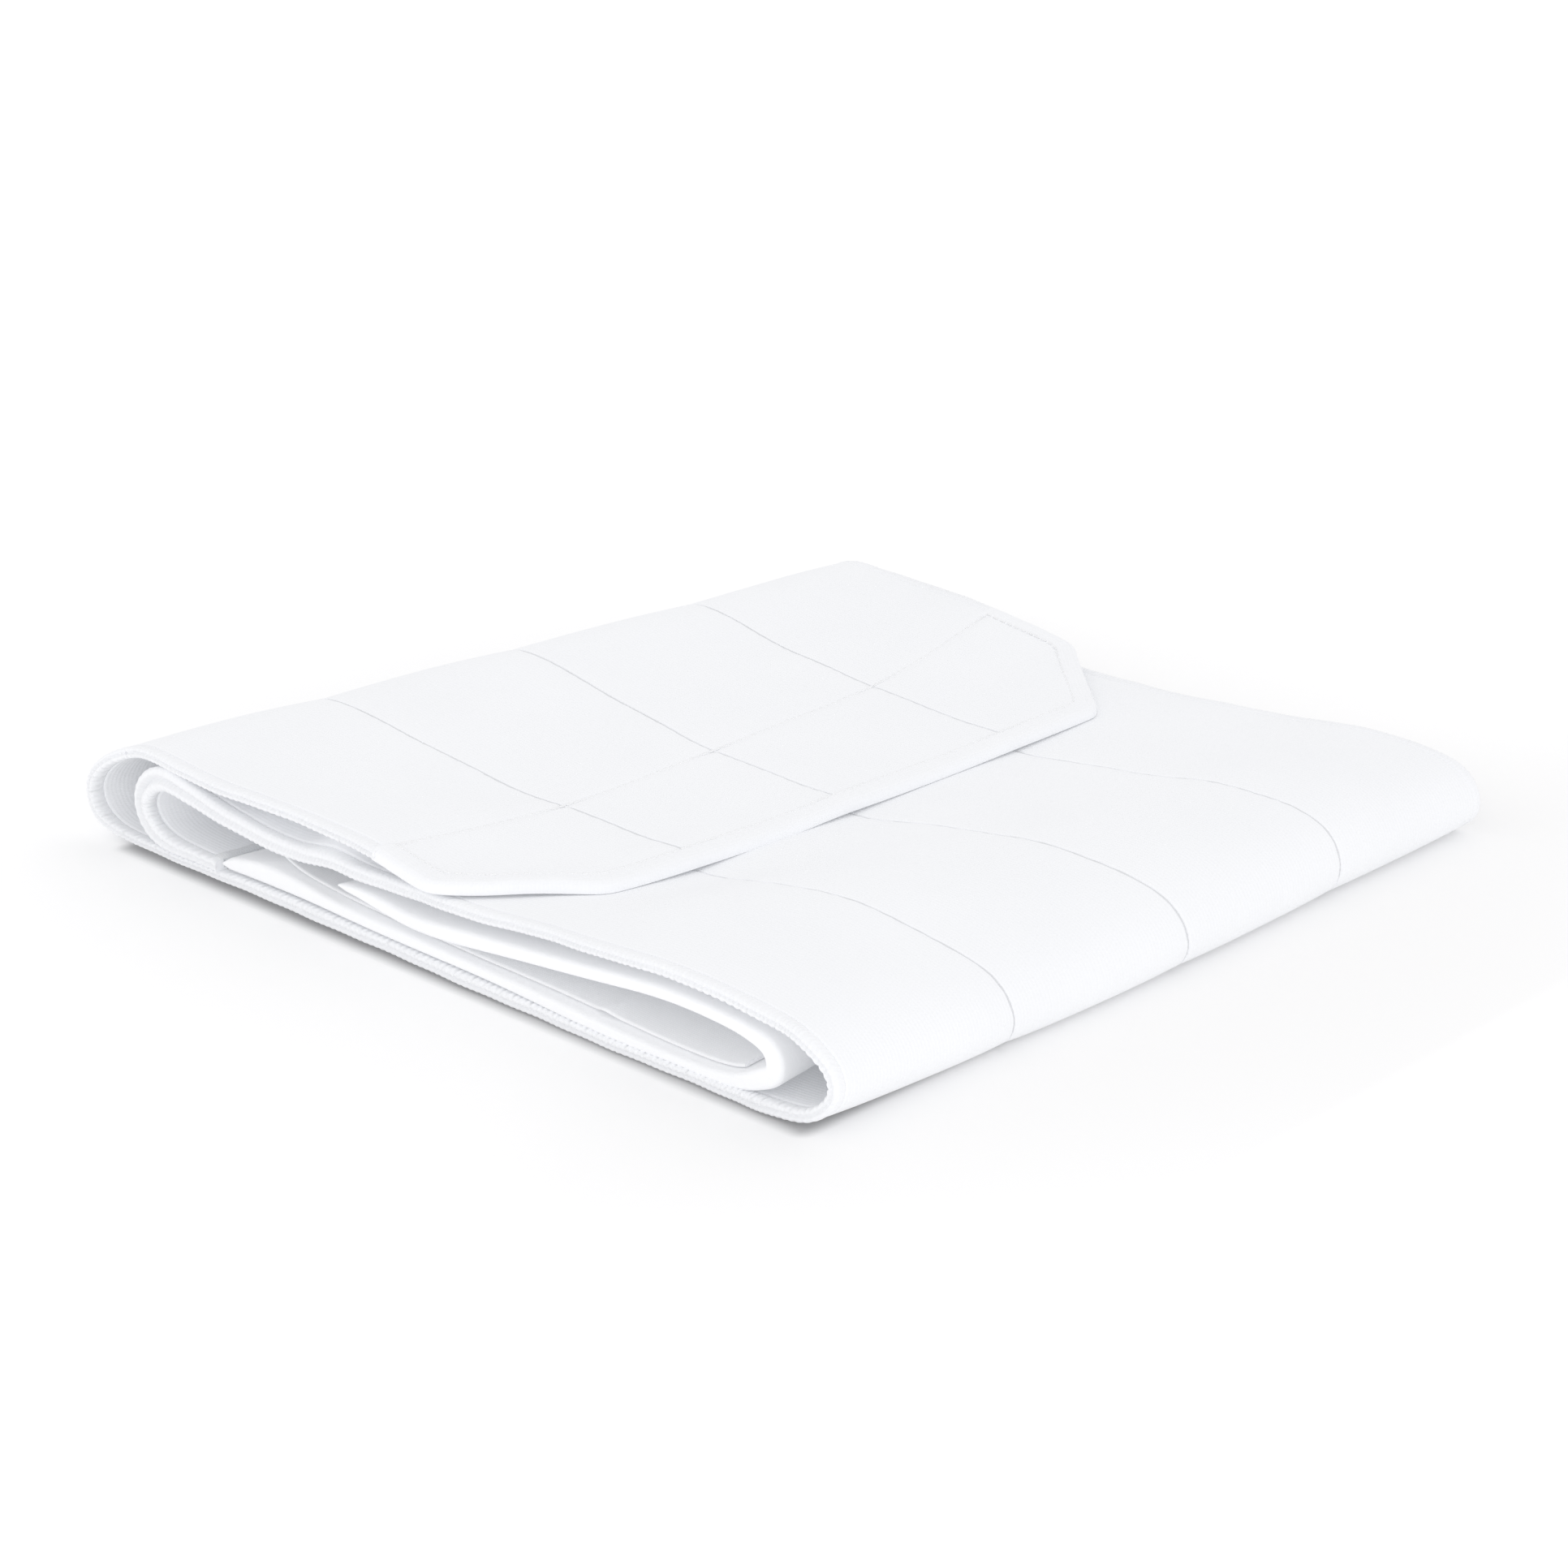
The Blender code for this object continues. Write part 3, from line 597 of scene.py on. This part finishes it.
def belt_edge(name, side, t):
    """Two-ply overlocked long edge with a groove between the plies."""
    t = np.asarray(t, float)
    ring = [
        (BEAD + 1.0, 0.45),
        (BEAD - 0.6, 0.97),
        (2.7, 1.03),
        (1.3, 1.02),
        (0.45, 0.88),
        (0.02, 0.62),
        (0.05, 0.34),
        (0.9, 0.07),
    ]
    ring = ring + [(o, -h) for o, h in ring[::-1]]
    o = np.array([r[0] for r in ring])
    h = np.array([r[1] for r in ring])
    places = np.clip(o, 0, None)
    y = side * (HALF - places)
    order = np.argsort(y)
    p, n, thick = belt.grid(t, y[order])
    back = np.argsort(order)
    p, n, thick = p[:, back], n[:, back], thick[:, back]
    half = thick / 2
    a = 2 * math.pi * t[:, None] / SCALLOP_PITCH
    outer_face = np.clip(1 - o / 2.5, 0, 1)[None, :]
    tooth = np.abs(np.sin(a / 2)) ** 0.7 - 0.6
    under = (h < -0.5)[None, :] * (o < 3.2)[None, :]
    over = (h > 0.5)[None, :] * (o < 3.2)[None, :]
    push = half * h[None, :]
    push = push - SCALLOP_DEPTH * tooth * under + 0.07 * np.cos(a) * over
    wobble = 0.22 * np.sin(t / 9.0)[:, None] + 0.14 * np.sin(t / 3.1 + 1.0)[:, None]
    out = 0.10 * np.cos(a + 0.6) * outer_face + wobble * outer_face
    pos = p + n * push[..., None]
    pos[..., 1] += side * out
    groove = (np.abs(h) < 0.1)[None, :] * np.clip(thick - 4.2, 0, 3.6) * 0.45
    pos[..., 1] -= side * groove
    if side < 0:
        pos = pos[:, ::-1]
        o = o[::-1]
    return ring_tube(name, pos, t, side * (HALF - o), edging)


def fine_steps(start, end, step):
    return np.linspace(start, end, int(abs(end - start) / step) + 2)


X_FLAP_TAB = -66.0
T_SPLIT = T_CREST  # the roll's pieces end at the crest of the left fold and the flap's start
T_END = belt.length


def roll_steps(fine=1.1, coarse=3.2):
    return belt.steps(T_SPLIT, T_END, fine, coarse)


T_JOIN = float(t_at_x(np.array([X_FLAP_TAB]), np.array([-HALF]))[0])

steps = roll_steps()
for i in range(4):
    piece = belt_panel(f"roll_elastic_panel_{i + 1}_knit", i, steps)
    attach(piece, "roll")
    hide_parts(f"roll_elastic_panel_{i + 1}")
for i in range(3):
    piece = belt_seam(f"roll_panel_seam_{i + 1}_thread", i, belt.steps(T_SPLIT, T_END, 0.8, 1.6))
    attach(piece, "roll")
    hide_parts(f"roll_panel_seam_{i + 1}")
for side, label, step in ((-1, "near", 0.5), (1, "far", 1.0)):
    piece = belt_edge(f"roll_{label}_edge_binding", side, fine_steps(T_SPLIT, T_END, step))
    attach(piece, "roll")
    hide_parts(f"roll_{label}_edge")

flap_t = belt.steps(T_JOIN, T_SPLIT, 1.1, 2.4)
flap_pieces = []
for i in range(4):
    piece = belt_panel(f"flap_elastic_panel_{i + 1}_knit", i, flap_t)
    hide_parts(f"flap_elastic_panel_{i + 1}")
    flap_pieces.append(piece)
for i in range(3):
    piece = belt_seam(f"flap_panel_seam_{i + 1}_thread", i, fine_steps(T_JOIN, T_SPLIT, 0.8))
    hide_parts(f"flap_panel_seam_{i + 1}")
    flap_pieces.append(piece)
for side, label, step in ((-1, "near", 0.5), (1, "far", 1.0)):
    piece = belt_edge(f"flap_{label}_edge_binding", side, fine_steps(T_JOIN, T_SPLIT, step))
    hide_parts(f"flap_{label}_edge")
    flap_pieces.append(piece)
for piece in flap_pieces:
    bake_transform(piece)

# ------------------------------------------------------------------ closing tab --
NEAR_CORNER = (3.0, -HALF)
FAR_CORNER = (-21.0, HALF)
END_LINE = ((-116.0, 35.0), (-76.0, 32.0), (0.0, 26.2), (76.0, 21.0), (116.0, 19.8))
ROW_LINE = ((-HALF, -22.0), (-76.0, -27.0), (0.0, -36.5), (76.0, -43.5), (HALF, -58.5))
HEM = 8.2
PANEL_INSET = 4.5  # the panels stop this far inside the tab's outline, under the hem
STITCH_PITCH = 3.3
# Heights of each layer's two faces from the tab's centre, mm.
TAB_PANEL = (1.75, -0.95)
TAB_SEAM = (1.40, -0.90)
HOOK_PATCH = (-1.10, -1.85)


def line_x(line, y):
    ys = [q[0] for q in line]
    xs = [q[1] for q in line]
    y = np.asarray(y, float)
    return (spline_weights(ys, y.ravel()) @ np.array(xs)).reshape(y.shape)


def outline_x(y, inset):
    """x of the tab's end at y, moved in from the outline by inset."""
    y = np.asarray(y, float)
    end = line_x(END_LINE, y) - inset
    for corner, tip in ((NEAR_CORNER, END_LINE[0]), (FAR_CORNER, END_LINE[-1])):
        dx = tip[1] - corner[0]
        dy = abs(tip[0] - corner[1])
        reach = inset * math.hypot(dx, dy) / dy
        sign = 1 if corner[1] > 0 else -1
        bevel = corner[0] + dx * (sign * (corner[1] - y)) / dy - reach
        end = np.minimum(end, bevel)
    return end


def row_dip(x, y):
    """Dent of the fabric along the stitch row of the hook patch."""
    d = (x - line_x(ROW_LINE, y)) * 0.97
    return 0.55 * np.exp(-((d / 1.3) ** 2)) - 0.16 * np.exp(-(((d - 5) / 4.0) ** 2))


def tab_sheet(name, y, share, x_left, x_right, over, under, material, dip=True, crown_of=None):
    """A closed sheet over part of the tab; over and under are heights from its centre."""
    count = max(8, int((x_right.max() - x_left.min()) / 1.15))
    f = np.linspace(0, 1, count)[:, None]
    x = x_left[None, :] * (1 - f) + x_right[None, :] * f
    yy = np.broadcast_to(y[None, :], x.shape)
    t = t_at_x(x, yy)
    p, n, thick = points_at(belt, t, yy)
    up = over * share[None, :]
    if crown_of is not None:
        up = up + crown(y, crown_of)[None, :] * share[None, :] + seam_pucker(t, yy)
    if dip:
        up = up - row_dip(x, yy) * share[None, :]
    low = under * share[None, :]
    top = p + n * (np.broadcast_to(up, x.shape))[..., None]
    bottom = p + n * (np.broadcast_to(low, x.shape))[..., None]
    return slab(name, top[::-1], bottom[::-1], t[::-1], y, material)


tab_pieces = []
for i in range(4):
    y, share = panel_places(i)
    if i == 0:
        y, share = rounded(-HALF + BEAD, SEAMS[0] - SEAM_GAP, 1.25, 0.30, 6)
    left = belt.raw(np.array([T_JOIN]), y)[0][0, :, 0]
    right = outline_x(y, PANEL_INSET)
    piece = tab_sheet(
        f"tab_elastic_panel_{i + 1}_knit", y, share, left, right, *TAB_PANEL, knit, True, i
    )
    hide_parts(f"tab_elastic_panel_{i + 1}")
    tab_pieces.append(piece)
for i in range(3):
    y = np.linspace(SEAMS[i] - SEAM_HALF, SEAMS[i] + SEAM_HALF, 7)
    share = np.sqrt(np.clip(1 - ((y - SEAMS[i]) / 1.0) ** 2, 0.05, 1))
    left = belt.raw(np.array([T_JOIN]), y)[0][0, :, 0]
    right = outline_x(y, PANEL_INSET)
    piece = tab_sheet(
        f"tab_panel_seam_{i + 1}_thread", y, share, left, right, *TAB_SEAM, seam_mat
    )
    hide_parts(f"tab_panel_seam_{i + 1}")
    tab_pieces.append(piece)

# Long edges of the tab between the flap and its hem.
for side, label in ((-1, "near"), (1, "far")):
    row_x = float(line_x(ROW_LINE, np.array([side * HALF]))[0]) + 1.0
    t_row = float(t_at_x(np.array([row_x]), np.array([side * HALF]))[0])
    piece = belt_edge(f"tab_{label}_edge_binding", side, fine_steps(t_row, T_JOIN, 0.6))
    tab_pieces.append(piece)


def hem_corners(inset):
    """The tab's outline from the near end of the stitch row round to its far end."""
    side = HALF - inset
    points = [(float(line_x(ROW_LINE, np.array([-HALF]))[0]) - 0.5, -side)]
    out = []
    for sign, corner, tip in ((-1, NEAR_CORNER, END_LINE[0]), (1, FAR_CORNER, END_LINE[-1])):
        dx = tip[1] - corner[0]
        dy = abs(tip[0] - corner[1])
        length = math.hypot(dx, dy)
        reach = inset * length / dy
        shoulder = (corner[0] - reach + dx * inset / dy, sign * side)
        grid = np.linspace(abs(tip[0]) - 14, abs(tip[0]) + 10, 481)
        bevel = corner[0] + dx * (abs(corner[1]) - grid) / dy - reach
        end = line_x(END_LINE, sign * np.minimum(grid, 116.0)) - inset
        k = int(np.argmin(np.abs(bevel - end)))
        out.append((shoulder, (float(end[k]), sign * float(grid[k]))))
    points.append(out[0][0])
    points.append(out[0][1])
    for y in (-76.0, -38.0, 0.0, 38.0, 76.0):
        points.append((float(line_x(END_LINE, np.array([y]))[0]) - inset, y))
    points.append(out[1][1])
    points.append(out[1][0])
    points.append((float(line_x(ROW_LINE, np.array([HALF]))[0]) - 0.5, side))
    return np.array(points)


def along_outline(insets, step):
    """Plan places along the hem: steps by insets, with slightly softened corners."""
    base = hem_corners(insets[0])
    lengths = np.linalg.norm(np.diff(base, axis=0), axis=1)
    total = np.concatenate([[0], np.cumsum(lengths)])
    count = int(total[-1] / step) + 1
    u = np.linspace(0, total[-1], count)
    columns = []
    for inset in insets:
        corners = hem_corners(inset)
        line = np.stack([np.interp(u, total, corners[:, k]) for k in (0, 1)], axis=1)
        soft = line.copy()
        width = 2
        for _ in range(3):
            soft[width:-width] = (soft[: -2 * width] + soft[width:-width] + soft[2 * width :]) / 3
        columns.append(soft)
    return u, np.stack(columns, axis=1)


insets = np.array([0.0, 0.08, 0.3, 0.75, 1.4, 2.4, 3.6, 4.8, 6.0, 6.9, 7.5, 7.9, HEM])
over = np.array([0.1, 0.7, 1.25, 1.75, 2.05, 2.25, 2.3, 2.3, 2.28, 2.2, 2.0, 1.6, 0.9])
below = -np.array([1.55, 1.72, 1.82, 1.88, 1.9, 1.9, 1.9, 1.9, 1.9, 1.9, 1.85, 1.6, 0.9])
u, plan = along_outline(insets, 0.9)
hem_t = t_at_x(plan[..., 0], plan[..., 1])
p, n, thick = points_at(belt, hem_t, plan[..., 1])
ripple = 0.10 * np.sin(u / 2.3) + 0.10 * np.sin(u / 0.62) + 0.12 * np.sin(u / 7.7 + 1)
bulge = np.sin(np.clip(insets / HEM, 0, 1) * math.pi)[None, :]
top = p + n * (over[None, :] + ripple[:, None] * bulge)[..., None]
bottom = p + n * (np.broadcast_to(below[None, :], thick.shape))[..., None]
hem = slab("tab_turned_border_hem", top[:, ::-1], bottom[:, ::-1], u, insets[::-1], knit)
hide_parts("tab_turned_border")
tab_pieces.append(hem)

# Hook patch under the tab.
y = np.linspace(-HALF + 2.5, HALF - 2.5, 90)
share = np.ones(len(y))
patch_left = line_x(ROW_LINE, y) + 1.0
patch_right = outline_x(y, 2.2)
piece = tab_sheet(
    "tab_hook_patch_tape", y, share, patch_left, patch_right, *HOOK_PATCH, tape, False
)
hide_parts("tab_hook_patch")
tab_pieces.append(piece)


def stitches(name, places, material, radius=0.36, length=2.5, sides=6):
    """Lockstitches lying on the surface: one capsule for each (point, direction, normal)."""
    pts = []
    quads = []
    uv = []
    profile = [(-0.5, 0.35), (-0.44, 0.75), (-0.3, 1.0), (0.3, 1.0), (0.44, 0.75), (0.5, 0.35)]
    for q, d, m in places:
        side = np.cross(m, d)
        start = len(pts)
        for f, r in profile:
            bow = 0.12 * (1 - (2 * f) ** 2)
            for k in range(sides):
                a = 2 * math.pi * k / sides
                offset = side * math.cos(a) * radius * r + m * (math.sin(a) * radius * r + bow)
                pts.append(q + d * f * length + offset)
                uv.append((f * length, k * 0.4))
        for j in range(len(profile) - 1):
            for k in range(sides):
                a = start + j * sides + k
                b = start + j * sides + (k + 1) % sides
                quads.append((a, b, b + sides, a + sides))
        last = start + (len(profile) - 1) * sides
        quads.append((start + 3, start + 2, start + 1, start))
        quads.append((start, start + 5, start + 4, start + 3))
        quads.append((last, last + 1, last + 2, last + 3))
        quads.append((last + 3, last + 4, last + 5, last))
    return mesh_object(name, np.array(pts), quads, np.array(uv), material)


def stitch_places(x, y, pitch, height):
    """Evenly spaced stitches along a plan line on the tab's surface."""
    t = t_at_x(x, y)
    p, n, _ = points_at(belt, t, y)
    q = p + n * np.asarray(height)[:, None]
    total = np.concatenate([[0], np.cumsum(np.linalg.norm(np.diff(q, axis=0), axis=1))])
    at = np.arange(pitch, total[-1] - pitch, pitch)
    out = []
    for a in at:
        here = np.array([np.interp(a, total, q[:, k]) for k in range(3)])
        ahead = np.array([np.interp(a + 0.8, total, q[:, k]) for k in range(3)])
        normal = np.array([np.interp(a, total, n[:, k]) for k in range(3)])
        d = ahead - here
        d /= np.linalg.norm(d)
        normal -= d * (normal @ d)
        normal /= np.linalg.norm(normal)
        out.append((here, d, normal))
    return out


line_y = np.linspace(-HALF + 1.5, HALF - 1.5, 400)
places = stitch_places(line_x(ROW_LINE, line_y), line_y, STITCH_PITCH, np.full(400, 1.55))
piece = stitches("hook_patch_stitch_row_thread", places, thread)
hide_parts("hook_patch_stitch_row")
tab_pieces.append(piece)
u, plan = along_outline(np.array([7.3]), 0.9)
plan = plan[:, 0]
places = stitch_places(plan[:, 0], plan[:, 1], STITCH_PITCH, np.full(len(plan), 2.12))
piece = stitches("tab_border_stitch_row_thread", places, thread)
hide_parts("tab_border_stitch_row")
tab_pieces.append(piece)
for piece in tab_pieces:
    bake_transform(piece)

# ---------------------------------------------------------- padded loop panel --
pad_t = pad.steps(0, pad.length, 0.9, 2.6)
low = -HALF + 1.2
high = HALF - 1.2
y, share = rounded(low, high, 1.9, 0.42, 8)
p, n, thick = pad.grid(pad_t, y)
soft = 0.12 * np.sin(pad_t / 11.0)[:, None] * np.sin(y / 9.0)[None, :]
end_round = np.clip(np.minimum(pad_t, pad.length - pad_t) / 2.0, 0, 1)
end_round = 0.35 + 0.65 * np.sqrt(1 - (1 - end_round) ** 2)
half = thick / 2 * share[None, :] * end_round[:, None]
p[..., 1] += (0.35 * np.sin(pad_t / 14.0))[:, None] * (np.abs(y) > 140)[None, :]
piece = slab(
    "padded_loop_panel_fabric",
    p + n * (half + soft * share[None, :])[..., None],
    p - n * half[..., None],
    pad_t,
    y,
    pile,
)
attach(piece, "roll")
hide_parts("padded_loop_panel")

# Thin ply lying on the padded panel, with a small kink in its near edge.
ply_t = fine_steps(pad.knots[3] - 1.0, pad.knots[12] + 3.0, 1.4)
y = np.concatenate([-HALF + 5.6 + np.array([0, 0.25, 0.7]), np.linspace(-145.5, 145.5, 60)])
share = np.concatenate([[0.4, 0.85, 1.0], np.ones(59), [0.4]])
p, n, thick = pad.grid(ply_t, y)
x_of = p[..., 0]
kink = 1.3 * hump(x_of, 69.0, 3.2) * np.exp(-(y[None, :] + HALF - 5) / 14.0)
centre = p - n * (thick / 2 + 0.85 + kink)[..., None]
centre[..., 1] -= kink * 0.9
near_end = np.exp(-(y[None, :] + HALF - 5) / 12.0)
centre[..., 2] += 4.6 * hump(x_of, -80.0, 11.0) * near_end
half = 0.5 * share[None, :]
piece = slab(
    "inner_end_ply_sheet",
    centre + n * half[..., None],
    centre - n * half[..., None],
    ply_t,
    y,
    thin,
)
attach(piece, "roll")
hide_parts("inner_end_ply")

# Seam that joins the padded panel to the belt's inner end.
y = np.linspace(-HALF + 3.0, HALF - 3.0, 120)
seam_t = np.linspace(belt.length - 2.4, belt.length, 7)
p, n, thick = belt.grid(seam_t, y)
shape = np.sqrt(np.clip(1 - np.linspace(-1, 1, 7) ** 2, 0.05, 1))[:, None]
half = 1.0 * shape + 0.12 * np.sin(y / 0.5)[None, :] * shape
piece = slab(
    "loop_panel_seam_thread",
    p + n * (0.6 + half)[..., None],
    p - n * (1.7 + half)[..., None],
    seam_t,
    y,
    seam_mat,
)
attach(piece, "roll")
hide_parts("loop_panel_seam")

# ---------------------------------------------------------------- floor, light --
FLOOR_WHITE = (0.96, 0.96, 0.962, 1.0)
CONTACT_DARK = (0.0, 0.0, 0.012, 1.0)
ROLL_HALF_LENGTH = 0.1360  # half the roll's length on the floor at y = 0, m
ROLL_TAPER = -0.064  # how much that changes for each metre of y
ROLL_HALF_WIDTH = 0.1515

bpy.ops.mesh.primitive_plane_add(size=30.0, location=(0.0, 0.0, -0.0002))
floor = bpy.context.object
floor.name = "studio_floor"
floor_material = bpy.data.materials.new("studio_floor_white")
floor_material.use_nodes = True
floor_tree = floor_material.node_tree
floor_shader = floor_tree.nodes["Principled BSDF"]
floor_shader.inputs["Roughness"].default_value = 0.9
floor_shader.inputs["Specular IOR Level"].default_value = 0.1
floor_place = floor_tree.nodes.new("ShaderNodeTexCoord")


def floor_ramp(value, start, end, low, high):
    node = floor_tree.nodes.new("ShaderNodeMapRange")
    node.interpolation_type = "SMOOTHSTEP"
    for label, amount in (("From Min", start), ("From Max", end), ("To Min", low), ("To Max", high)):
        node.inputs[label].default_value = amount
    floor_tree.links.new(value, node.inputs["Value"])
    return node.outputs["Result"]


def floor_math(operation, a, b=None, c=None):
    return math_node(floor_tree, operation, a, b, c)


# The contact shade is painted: a dark line and a wider halo beside the roll's outline, which
# even out to white further away, where the floor also glows a little.
floor_split = floor_tree.nodes.new("ShaderNodeSeparateXYZ")
floor_tree.links.new(floor_place.outputs["Object"], floor_split.inputs[0])
floor_x = floor_math("SUBTRACT", floor_split.outputs["X"], 0.003)
floor_y = floor_split.outputs["Y"]
floor_half = floor_math("MULTIPLY_ADD", floor_y, ROLL_TAPER, ROLL_HALF_LENGTH)
floor_dx = floor_math("SUBTRACT", floor_math("ABSOLUTE", floor_x), floor_half)
floor_dx = floor_math("MAXIMUM", floor_dx, 0.0)
floor_dy = floor_math("SUBTRACT", floor_math("ABSOLUTE", floor_y), ROLL_HALF_WIDTH)
floor_dy = floor_math("MAXIMUM", floor_dy, 0.0)
floor_sum = floor_math("MULTIPLY_ADD", floor_dx, floor_dx, floor_math("MULTIPLY", floor_dy, floor_dy))
floor_beside = floor_math("SQRT", floor_sum)
floor_reach = floor_tree.nodes.new("ShaderNodeVectorMath")
floor_reach.operation = "LENGTH"
floor_tree.links.new(floor_place.outputs["Object"], floor_reach.inputs[0])
floor_reach = floor_reach.outputs["Value"]
floor_line = floor_ramp(floor_beside, 0.0, 0.0065, 0.56, 1.0)
floor_side = floor_ramp(floor_x, 0.05, 0.15, 0.985, 0.945)
floor_halo = floor_ramp(floor_beside, 0.010, 0.110, 0.0, 1.0)
floor_halo = floor_math("MAXIMUM", floor_halo, floor_side)
floor_shade = floor_math("MULTIPLY", floor_line, floor_halo)
floor_glow = floor_ramp(floor_reach, 0.17, 0.50, 0.10, 0.30)
floor_tree.links.new(
    floor_math("MULTIPLY", floor_glow, floor_shade), floor_shader.inputs["Emission Strength"]
)
floor_mix = floor_tree.nodes.new("ShaderNodeMix")
floor_mix.data_type = "RGBA"
floor_mix.inputs[6].default_value = CONTACT_DARK
floor_mix.inputs[7].default_value = FLOOR_WHITE
floor_tree.links.new(floor_shade, floor_mix.inputs[0])
floor_tree.links.new(floor_mix.outputs[2], floor_shader.inputs["Base Color"])
floor_shader.inputs["Emission Color"].default_value = (1.0, 1.0, 1.0, 1.0)
floor.data.materials.append(floor_material)

world = bpy.data.worlds.new("studio_world")
bpy.context.scene.world = world
world.use_nodes = True
world.node_tree.nodes["Background"].inputs["Color"].default_value = (1.0, 0.997, 1.0, 1.0)
world.node_tree.nodes["Background"].inputs["Strength"].default_value = 0.925


def area_light(name, place, target, size, power):
    data = bpy.data.lights.new(name, "AREA")
    data.shape = "DISK"
    data.size = size
    data.energy = power
    light = bpy.data.objects.new(name, data)
    light.location = place
    direction = Vector(target) - Vector(place)
    light.rotation_euler = direction.to_track_quat("-Z", "Y").to_euler()
    bpy.context.scene.collection.objects.link(light)
    return light


area_light("front_softbox", (1.0, -1.1, 0.5), (0, 0, 0.01), 0.6, 2.0)

camera_data = bpy.data.cameras.new("camera")
camera_data.sensor_width = 36.0
camera_data.lens = 93.17
camera = bpy.data.objects.new("camera", camera_data)
camera.location = (0.8292, -0.8384, 0.4491)
azimuth = math.radians(44.994)
elevation = math.radians(20.054)
camera.rotation_euler = Euler((math.pi / 2 - elevation, 0.0, azimuth), "XYZ")
bpy.context.scene.collection.objects.link(camera)
bpy.context.scene.camera = camera
bpy.context.scene.view_settings.view_transform = "Standard"
